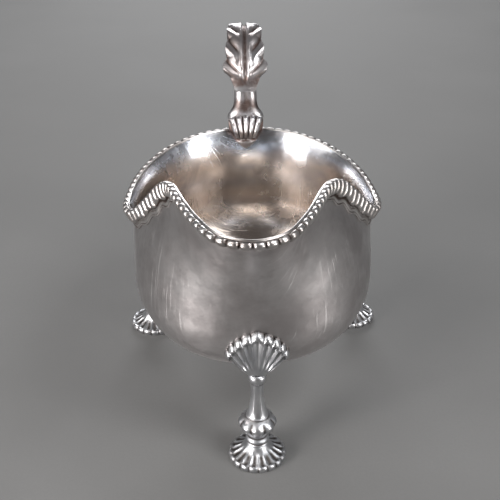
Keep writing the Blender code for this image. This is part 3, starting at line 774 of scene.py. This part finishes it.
def build_handle_half(name, hand, material):
    """One casting of the handle: a reeded D section, flat on the middle plane."""
    stations = 300
    share = np.linspace(0, 1, stations)
    centre, outer, width, depth = handle_line(share)
    turns = np.linspace(-math.pi / 2, math.pi / 2, 45)
    share, width, depth = share[:, None], width[:, None], depth[:, None]
    end = np.sqrt(1 - np.clip((share - 0.985) / 0.0152, 0, 0.98) ** 2)
    side = (width - SEAM) * np.cos(turns) ** 0.8 * end
    reed = side / width
    lower = ramp(share, 0.46, 0.52) * (1 - ramp(share, 0.9, 0.97))
    neck = ramp(share, 0.03, 0.055) * (1 - ramp(share, 0.12, 0.14))
    reeds = bump(reed, 0.52, 0.16) + 0.6 * bump(reed, 0.0, 0.08)
    groove = 0.35 * bump(reed, 0, 0.3) * neck + 0.55 * reeds * lower
    facing = np.clip(np.sin(turns), 0, None) ** 0.5
    collar = 0.3 * bump(share, 0.098, 0.02) + 0.5 * bump(share, 0.046, 0.016)
    lift = depth * np.sin(turns) * end + (collar - groove) * facing * end
    side = SEAM + side + collar * np.cos(turns)
    sections = centre[:, None, :] + outer[:, None, :] * lift[..., None]
    sections = sections + side[..., None] * np.array([hand, 0, 0])
    # The two bands on the neck, below the leaf and under its base, are darkened as painted shade; the darker
    # grooves are tarnish.
    toning_and_shade = 0.75 * groove * facing + 0.8 * bump(share, 0.068, 0.024) + 0.8 * bump(share, 0.128, 0.018)
    add_tube("reeded_" + name, sections, toning_and_shade + 0 * lift, material, name)


def build_leaf(material):
    """The acanthus leaf that caps the handle: lobes folded along their veins, with curled tips."""
    rows, columns = 260, 91
    table = smooth_line(LEAF_LINE, rows)
    percent, half, thick = (table[:, k : k + 1] for k in range(3))
    centre, outer, width, depth = handle_line(percent[:, 0] / 100)
    width, depth = width[:, None], depth[:, None]
    across = np.linspace(-1, 1, columns)[None, :]
    out_share = np.abs(across)
    lobed = ramp(percent, LEAF_FROM - 0.4, LEAF_FROM + 1.2) * (1 - ramp(percent, 46, 50))
    edge_phase = ((percent - LEAF_FROM) / LEAF_PITCH) % 1
    notch = 0.16 * (1 - np.sin(math.pi * edge_phase) ** 0.6) * lobed
    half = half * (1 - notch * out_share**2 + 0.05 * lobed * np.sin(math.pi * edge_phase) * out_share)
    side = half * across
    fold_at = (percent - LEAF_FROM) / LEAF_PITCH - 1.15 * (out_share - 1) - 1
    fold = np.abs(np.sin(math.pi * fold_at)) ** 0.9
    vein = np.sin(3 * math.pi * fold_at) ** 2
    wing = ramp(out_share, 0.16, 0.5)
    relief = lobed * wing * (1.2 * (fold - 0.55) + 0.08 * (vein - 0.5))
    curl = lobed * 0.6 * out_share**3 * fold
    groove = 1.0 * bump(np.abs(side), 0, 0.75) * ramp(percent, 12, 15) * (1 - ramp(percent, 44, 49))
    rib = 0.5 * bump(np.abs(side), 1.7, 0.9) * lobed
    body = thick * (1 - 0.7 * out_share**2)
    front = depth + JOINT + np.maximum(body + relief + curl - groove + rib, 0.25 * thick)
    lean = np.clip(np.abs(side) / width, 0, 1)
    back = np.minimum(depth * (1 - 0.5 * lean**2.5) + JOINT, front - 0.15)
    aside = side[..., None] * [1, 0, 0]
    places = [centre[:, None, :] + outer[:, None, :] * lift[..., None] + aside for lift in (front, back)]
    # The leaf's plain base is darkened as painted shade where it stands out over the neck; the same term
    # also darkens its plain end past the last lobe. The dark folds and midrib groove are tarnish.
    toning_and_shade = lobed * wing * (1 - fold) ** 1.2 + 0.9 * groove + 0.8 * (1 - lobed) * ramp(percent, 10, 12)
    add_slab("carved_acanthus_leaf", *places, toning_and_shade, material, "cast_silver", "acanthus_leaf")


def rear_wall(x, height, thickness):
    """Where the back of the bowl is, along Y, at distances x from its middle plane."""
    return BOWL_AXIS_Y + outer_reach(180.0, -x, height, thickness)


def build_rim_shell(material):
    """The shell on the end of the handle, over the back of the rim: lobes above, a smooth tip below."""
    rows, columns = 110, 121
    turn = np.linspace(-1, 1, columns)[None, :]
    share = np.linspace(0, 1, rows)[:, None]
    rim_z = RIM_HALF[-1][2]
    grown = np.sin(math.pi / 2 * np.clip(share / 0.85, 0, 1) ** 0.75)
    fanned = np.clip((0.05 + 0.95 * grown) * turn / (0.35 + 0.65 * share), -1, 1)
    lobes = np.abs(np.cos(2.5 * math.pi * fanned)) ** 0.7
    open_part = ramp(share, 0.26, 0.42)
    top = SHELL_ABOVE_RIM + 0.7 * lobes - 0.9 * np.abs(turn) ** 2
    x = HANDLE_X + SHELL_HALF_WIDTH * (0.05 + 0.95 * grown) * turn
    height = rim_z - SHELL_BELOW_RIM + (SHELL_BELOW_RIM + top) * share
    seat = rear_wall(x, np.minimum(height, rim_z), -JOINT)
    seat = seat - 2.6 * ramp(height, rim_z - 3, rim_z + 0.5)
    bulge = 0.5 + 3.3 * np.sin(math.pi * np.clip(share, 0.0, 0.93)) ** 0.7
    swell = bulge * (1 - 0.6 * np.abs(turn) ** 2.5)
    relief = open_part * (1.0 * (lobes - 0.6) + 0.5 * bump(share, 0.88, 0.07) * lobes)
    step = -0.45 * bump(share, 0.3, 0.05)
    rounded = np.sqrt(1 - np.clip((share - 0.93) / 0.071, 0, 0.95) ** 2)
    rounded = rounded * np.sqrt(1 - np.clip((np.abs(turn) - 0.93) / 0.071, 0, 0.95) ** 2)
    front = seat - np.maximum((swell + relief + step) * rounded, 0.15)
    toning_and_shade = open_part * (1 - lobes) ** 0.8 + 0.8 * bump(share, 0.3, 0.05) + 0.45 * (1 - open_part)
    x = x + 0 * height
    places = np.stack([x, front, height], axis=-1), np.stack([x, seat, height], axis=-1)
    add_slab("fluted_rim_shell", *places, toning_and_shade, material, "cast_silver", "rim_shell")


def build_wall_plate(material):
    """The oval plate between the lower end of the handle and the back of the bowl."""
    around = 96
    angle = np.arange(around)[None, :] * 2 * math.pi / around
    share = np.linspace(0.04, 1, 26)[:, None]
    x = HANDLE_X - PLATE_HALF_WIDTH * share * np.cos(angle)
    height = PLATE_Z + PLATE_HALF_HEIGHT * share * np.sin(angle)
    seat = rear_wall(x, height, SHEET + JOINT)
    beaded = 0.35 * bump(share, 0.86, 0.07)
    rise = 1.15 * np.sqrt(1 - np.clip((share - 0.8) / 0.201, 0, 0.97) ** 2) + beaded
    back = np.stack([x, seat, height], axis=-1)
    front = np.stack([x, seat + rise, height], axis=-1)
    toning_and_shade = 0.6 * bump(share, 0.72, 0.06) + 0.3 * share + 0 * angle
    sections, shades = np.concatenate([back, front[::-1]]), np.concatenate([toning_and_shade, toning_and_shade[::-1]])
    add_tube("oval_wall_plate", sections, shades, material, "wall_plate")


# Materials ----------------------------------------------------------------------------------------


class Graph:
    """Adds nodes to a node tree and links them to each other."""

    def __init__(self, tree):
        self.tree = tree

    def add(self, kind, inputs=None, **settings):
        node = self.tree.nodes.new(kind)
        for name, value in settings.items():
            setattr(node, name, value)
        for socket, value in (inputs or {}).items():
            self.feed(node, socket, value)
        return node

    def feed(self, node, socket, value):
        if isinstance(value, bpy.types.NodeSocket):
            self.tree.links.new(value, node.inputs[socket])
        else:
            node.inputs[socket].default_value = value

    def math(self, operation, a, b=0.0, clamp=False):
        node = self.add("ShaderNodeMath", {0: a, 1: b}, operation=operation, use_clamp=clamp)
        return node.outputs[0]

    def noise(self, where, scale, detail=3.0, roughness=0.5):
        inputs = {"Vector": where, "Scale": scale, "Detail": detail, "Roughness": roughness}
        return self.add("ShaderNodeTexNoise", inputs).outputs["Fac"]

    def between(self, value, low, high, to_low=0.0, to_high=1.0):
        inputs = {"Value": value, "From Min": low, "From Max": high, "To Min": to_low, "To Max": to_high}
        node = self.add("ShaderNodeMapRange", inputs, interpolation_type="SMOOTHSTEP")
        return node.outputs["Result"]

    def blend(self, share, first, second):
        node = self.add("ShaderNodeMix", {"Factor": share}, data_type="RGBA")
        self.feed(node, 6, first)
        self.feed(node, 7, second)
        return node.outputs[2]


def new_material(name):
    material = bpy.data.materials.new(name)
    material.use_nodes = True
    graph = Graph(material.node_tree)
    return material, graph, material.node_tree.nodes["Principled BSDF"]


def scratches(graph, where, turn, fine):
    """Thin hairlines that run one way, turned by three angles."""
    turned = graph.add("ShaderNodeMapping", {"Vector": where, "Rotation": turn, "Scale": (40.0, fine, 40.0)})
    line = graph.noise(turned.outputs["Vector"], 1.0, 2.0)
    return graph.between(line, 0.66, 0.72)


class Tones(NamedTuple):
    """Base colours of one kind of silver: rubbed bright, cloudy, and dark, the last used both for tarnish in
    the hollows and for painted shade.
    """

    bright: tuple
    cloudy: tuple
    toned_and_shaded: tuple


def silver(name, tones, roughness, wear, hairlines):
    """Used silver: cloudy tarnish, dark where toning_and_shade is high (tarnish in the hollows, and painted
    shade in places), rubbed bright on the edges, with fine scratches.
    """
    material, graph, shader = new_material(name)
    where = graph.add("ShaderNodeTexCoord").outputs["Object"]
    clouds = graph.noise(where, 55.0, 4.0, 0.6)
    blotches = graph.noise(where, 150.0, 4.0, 0.65)
    specks = graph.noise(where, 420.0, 3.0, 0.6)
    # Each point's toning_and_shade darkens the colour towards the dark tone: tarnish in the hollows, and
    # painted shade under the border, along the knees' edges and about the leaf's base.
    hollow = graph.add("ShaderNodeAttribute", attribute_name="toning_and_shade").outputs["Fac"]
    tarnish_and_shade_spread = graph.math("MULTIPLY", graph.between(specks, 0.25, 0.75, 0.75, 1.15), hollow, clamp=True)
    body = graph.blend(graph.between(clouds, 0.35, 0.65), tones.bright, tones.cloudy)
    body = graph.blend(graph.between(blotches, 0.5, 0.75, 0.0, 0.6), body, tones.cloudy)
    colour = graph.blend(graph.between(tarnish_and_shade_spread, 0.15, 0.95), body, tones.toned_and_shaded)
    marks = worn_lines(graph, where, hairlines)
    colour = graph.blend(graph.math("MULTIPLY", marks, 0.35), colour, SCRATCH)
    graph.feed(shader, "Base Color", colour)
    rough = graph.between(clouds, 0.3, 0.7, roughness - wear, roughness + wear)
    rough = graph.math("ADD", rough, graph.between(blotches, 0.35, 0.7, 0.0, 2 * wear))
    rough = graph.math("ADD", rough, graph.math("MULTIPLY", tarnish_and_shade_spread, 0.22))
    rough = graph.math("ADD", rough, graph.math("MULTIPLY", marks, 0.12), clamp=True)
    graph.feed(shader, "Roughness", rough)
    relief = graph.math("ADD", graph.math("MULTIPLY", specks, 0.5), graph.math("MULTIPLY", marks, -0.6))
    relief = graph.math("ADD", relief, graph.math("MULTIPLY", blotches, 2.0))
    inputs = {"Height": relief, "Strength": 0.5, "Distance": 0.00006}
    graph.feed(shader, "Normal", graph.add("ShaderNodeBump", inputs).outputs["Normal"])
    shader.inputs["Metallic"].default_value = 1.0
    return material, graph, shader


def worn_lines(graph, where, hairlines):
    """All the hairlines together, thicker in some patches than in others."""
    marks = 0.0
    for turn, fine in hairlines:
        marks = graph.math("MAXIMUM", marks, scratches(graph, where, turn, fine))
    patchy = graph.between(graph.noise(where, 38.0, 2.0), 0.42, 0.62)
    return graph.math("MULTIPLY", marks, patchy)


def raised_silver(name):
    """The bowl's sheet: brushed outside; inside polished, brown partly with tarnish and partly as painted
    warm reflection, deeper brown low down where more of it is painted dark reflection, and bluish under the
    rim as painted reflection.
    """
    material, graph, shader = silver(name, RAISED, roughness=0.33, wear=0.04, hairlines=RAISED_HAIRLINES)
    inside = graph.add("ShaderNodeAttribute", attribute_name="inside").outputs["Fac"]
    where = graph.add("ShaderNodeTexCoord").outputs["Object"]
    height = graph.add("ShaderNodeSeparateXYZ", {"Vector": where}).outputs["Z"]
    wavy = graph.add("ShaderNodeMapping", {"Vector": where, "Scale": (30.0, 30.0, 190.0)}).outputs["Vector"]
    streaks = graph.noise(wavy, 1.0, 5.0, 0.6)
    level = graph.math("ADD", height, graph.math("MULTIPLY", streaks, 0.014))
    # Inside colour by height: deeper brown low down, much of it painted dark reflection; brown tarnish with
    # painted warm reflection in the middle; painted bluish reflection under the rim; paler horizontal bands
    # over all.
    tarnish_and_reflection = graph.blend(graph.between(level, BLUE_FROM, BLUE_WHOLE), INSIDE_BROWN_TARNISH_AND_REFLECTION, INSIDE_BLUE_REFLECTION)
    tarnish_and_reflection = graph.blend(graph.between(level, DEEP_WHOLE, DEEP_TO), INSIDE_DEEP_TARNISH_AND_REFLECTION, tarnish_and_reflection)
    paler_bands = graph.between(streaks, 0.42, 0.66)
    tarnish_and_reflection = graph.blend(graph.math("MULTIPLY", paler_bands, 0.6), tarnish_and_reflection, RAISED.bright)
    outer_colour = shader.inputs["Base Color"].links[0].from_socket
    graph.feed(shader, "Base Color", graph.blend(inside, outer_colour, tarnish_and_reflection))
    outer_roughness = shader.inputs["Roughness"].links[0].from_socket
    polished = graph.math("MULTIPLY", inside, -INSIDE_SMOOTHER)
    graph.feed(shader, "Roughness", graph.math("ADD", outer_roughness, polished, clamp=True))
    shader.inputs["Anisotropic"].default_value = 0.55
    shader.inputs["Anisotropic Rotation"].default_value = 0.25
    round_axis = graph.add("ShaderNodeTangent", direction_type="RADIAL", axis="Z")
    graph.feed(shader, "Tangent", round_axis.outputs["Tangent"])
    return material


def paper(name):
    """The matt grey sweep that the sauce boat stands on."""
    material, graph, shader = new_material(name)
    where = graph.add("ShaderNodeTexCoord").outputs["Object"]
    cloud = graph.between(graph.noise(where, 9.0, 4.0), 0.3, 0.7)
    grain = graph.noise(where, 900.0, 2.0)
    colour = graph.blend(cloud, FLOOR_DARK, FLOOR_LIGHT)
    specks = graph.between(grain, 0.3, 0.8, 0.0, 0.3)
    graph.feed(shader, "Base Color", graph.blend(specks, colour, FLOOR_DARK))
    inputs = {"Height": grain, "Strength": 0.15, "Distance": 0.0003}
    graph.feed(shader, "Normal", graph.add("ShaderNodeBump", inputs).outputs["Normal"])
    graph.feed(shader, "Roughness", graph.between(cloud, 0.0, 1.0, 0.75, 0.85))
    return material


RAISED_HAIRLINES = [
    ((0.2, 0.5, 0.3), 2600.0),
    ((0.9, 0.1, 1.3), 2200.0),
    ((1.4, 1.1, 0.6), 2400.0),
    ((0.5, 1.9, 2.2), 2000.0),
]
CAST_HAIRLINES = [((0.3, 0.8, 0.2), 2600.0), ((1.1, 0.3, 1.7), 2300.0)]
RAISED = Tones((0.66, 0.633, 0.63, 1.0), (0.48, 0.45, 0.447, 1.0), (0.22, 0.18, 0.165, 1.0))
GADROON = Tones((0.68, 0.66, 0.65, 1.0), (0.48, 0.44, 0.42, 1.0), (0.09, 0.065, 0.055, 1.0))
CAST = Tones((0.68, 0.68, 0.69, 1.0), (0.49, 0.50, 0.52, 1.0), (0.09, 0.078, 0.072, 1.0))
HANDLE = Tones((0.68, 0.67, 0.68, 1.0), (0.44, 0.39, 0.38, 1.0), (0.12, 0.085, 0.075, 1.0))
SCRATCH = (0.90, 0.89, 0.88, 1.0)
# The inside's colours: the bluish one is a painted reflection; the brown and the deep brown are partly
# tarnish and partly painted reflection.
INSIDE_BLUE_REFLECTION = (0.70, 0.74, 0.81, 1.0)
INSIDE_BROWN_TARNISH_AND_REFLECTION = (0.83, 0.745, 0.665, 1.0)
INSIDE_DEEP_TARNISH_AND_REFLECTION = (0.56, 0.47, 0.415, 1.0)
INSIDE_SMOOTHER = 0.12  # how much less rough the inside is than the outside
# Where the inside's colours change: height in metres, with the streaks added.
BLUE_FROM, BLUE_WHOLE = 0.074, 0.084
DEEP_WHOLE, DEEP_TO = 0.040, 0.062
FLOOR_LIGHT = (0.182, 0.181, 0.178, 1.0)
FLOOR_DARK = (0.155, 0.154, 0.151, 1.0)


# Stage --------------------------------------------------------------------------------------------

CAMERA_BACK = 305.0  # from the bowl's middle
CAMERA_UP = 232.0
CAMERA_YAW = 1.9  # degrees to the left of the object's middle plane
CAMERA_PITCH = 29.6
CAMERA_LENS = 66.2
CAMERA_SHIFT = -0.0058
CAMERA_SENSOR = 36.0
CAMERA_NEAR = 0.01  # metres


class Softbox(NamedTuple):
    name: str
    azimuth: float  # degrees from the lip's end, towards +X
    elevation: float
    distance: float
    width: float
    height: float
    power: float
    colour: tuple


SOFTBOXES = [
    Softbox("front_left", -51, 11, 800, 260, 260, 6.4, (1.0, 0.965, 0.95)),
    Softbox("front_right", 55, 9, 800, 260, 220, 2.6, (1.0, 0.975, 0.96)),
    Softbox("high_left", -58, 50, 850, 320, 320, 1.4, (1.0, 0.99, 0.98)),
    Softbox("high_right", 56, 52, 850, 320, 320, 3.5, (0.98, 0.99, 1.0)),
    Softbox("side_left", -80, 25, 800, 300, 350, 1.1, (1.0, 0.99, 0.98)),
    Softbox("behind", 180, 25, 900, 520, 320, 4.4, (0.97, 0.98, 1.0)),
]
AIM_HEIGHT = 45.0
FLOOR_HALF = 3000.0
WORLD_STRENGTH = 0.5
WORLD_LOW_FRONT = (0.13, 0.12, 0.115, 1.0)
WORLD_LOW_BACK = (0.30, 0.30, 0.31, 1.0)
WORLD_HIGH_FRONT = (0.20, 0.19, 0.185, 1.0)
WORLD_HIGH_BACK = (0.34, 0.35, 0.37, 1.0)


def build_floor():
    corners = np.array([(-1, -1, 0), (1, -1, 0), (1, 1, 0), (-1, 1, 0)]) * FLOOR_HALF
    mesh = bpy.data.meshes.new("floor")
    mesh.from_pydata((corners * MM).tolist(), [], [(0, 1, 2, 3)])
    mesh.materials.append(paper("grey_paper"))
    floor = bpy.data.objects.new("floor", mesh)
    bpy.context.scene.collection.objects.link(floor)


def build_softbox(box):
    turn, rise = math.radians(box.azimuth), math.radians(box.elevation)
    towards = np.array([math.sin(turn) * math.cos(rise), -math.cos(turn) * math.cos(rise), math.sin(rise)])
    data = bpy.data.lights.new(box.name, "AREA")
    data.shape = "RECTANGLE"
    data.size, data.size_y = box.width * MM, box.height * MM
    data.energy = box.power
    data.color = box.colour
    light = bpy.data.objects.new(box.name, data)
    light.location = (ORIGIN + [0, BOWL_AXIS_Y, AIM_HEIGHT] + towards * box.distance) * MM
    light.rotation_euler = (math.pi / 2 - rise, 0, turn)
    bpy.context.scene.collection.objects.link(light)


def build_world():
    """A dim studio: paler overhead and behind the object, dark and warm in front of it."""
    world = bpy.data.worlds.new("studio")
    bpy.context.scene.world = world
    world.use_nodes = True
    graph = Graph(world.node_tree)
    where = graph.add("ShaderNodeTexCoord").outputs["Generated"]
    split = graph.add("ShaderNodeSeparateXYZ", {"Vector": where})
    up = graph.between(split.outputs["Z"], -0.2, 0.9)
    behind = graph.between(split.outputs["Y"], -0.75, 0.6)
    low = graph.blend(behind, WORLD_LOW_FRONT, WORLD_LOW_BACK)
    high = graph.blend(behind, WORLD_HIGH_FRONT, WORLD_HIGH_BACK)
    graph.feed(world.node_tree.nodes["Background"], "Color", graph.blend(up, low, high))
    world.node_tree.nodes["Background"].inputs["Strength"].default_value = WORLD_STRENGTH


def build_camera():
    yaw, pitch = math.radians(CAMERA_YAW), math.radians(CAMERA_PITCH)
    data = bpy.data.cameras.new("camera")
    data.sensor_width = CAMERA_SENSOR
    data.lens = CAMERA_LENS
    data.shift_x = CAMERA_SHIFT
    data.clip_start = CAMERA_NEAR
    camera = bpy.data.objects.new("camera", data)
    place = [-math.sin(yaw) * CAMERA_BACK, -math.cos(yaw) * CAMERA_BACK, CAMERA_UP]
    camera.location = (ORIGIN + place) * MM
    camera.rotation_euler = (math.pi / 2 - pitch, 0, -yaw)
    bpy.context.scene.collection.objects.link(camera)
    bpy.context.scene.camera = camera


def main():
    raised = raised_silver("raised_silver")
    lobed, _, _ = silver("gadroon_silver", GADROON, roughness=0.27, wear=0.03, hairlines=CAST_HAIRLINES)
    cast, _, _ = silver("cast_silver", CAST, roughness=0.31, wear=0.03, hairlines=CAST_HAIRLINES)
    handle, _, _ = silver("handle_silver", HANDLE, roughness=0.29, wear=0.03, hairlines=CAST_HAIRLINES)
    build_bowl(raised)
    notch = notch_index() / (len(HALF) - 1)
    for side_name, hand in (("right", 1), ("left", -1)):
        build_border(f"lobed_border_front_{side_name}", hand, 0.0, notch, lobed)
        build_border(f"lobed_border_rear_{side_name}", hand, notch, 1.0, lobed)
        build_handle_half(f"handle_half_{side_name}", hand, handle)
    for place_name, leg in LEGS.items():
        build_knee(f"shell_knee_{place_name}", leg, cast)
        build_stem(f"leg_stem_{place_name}", leg, cast)
        build_foot(f"shell_foot_{place_name}", leg, cast)
    build_leaf(handle)
    build_rim_shell(handle)
    build_wall_plate(handle)
    build_floor()
    build_world()
    for box in SOFTBOXES:
        build_softbox(box)
    build_camera()
    bpy.context.scene.view_settings.view_transform = "Standard"


foot_low, foot_high = (np.array(corner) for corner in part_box("shell_foot_front"))
ORIGIN = (foot_low + foot_high) / 2 * [1, 1, 0] / MM + [0, LEGS["front"].foot_reach - BOWL_AXIS_Y, 0]

HALF = smooth_line(RIM_HALF, RIM_SAMPLES, mirrored=True)
HALF_LENGTH = float(np.sum(np.linalg.norm(np.diff(HALF, axis=0), axis=1)))
RIM = leaned(np.concatenate([HALF, HALF[-2:0:-1] * [-1, 1, 1]]))
rim_angles = plan_angle(plan_direction(RIM))
rim_order = np.argsort(rim_angles)
RIM_RADII = (rim_angles[rim_order], np.linalg.norm(RIM[:, :2] - [0, BOWL_AXIS_Y], axis=1)[rim_order])
RIM_HEIGHTS = (rim_angles[rim_order], RIM[rim_order, 2])
FRAMES = rim_frames()

main()

bpy.context.view_layer.update()
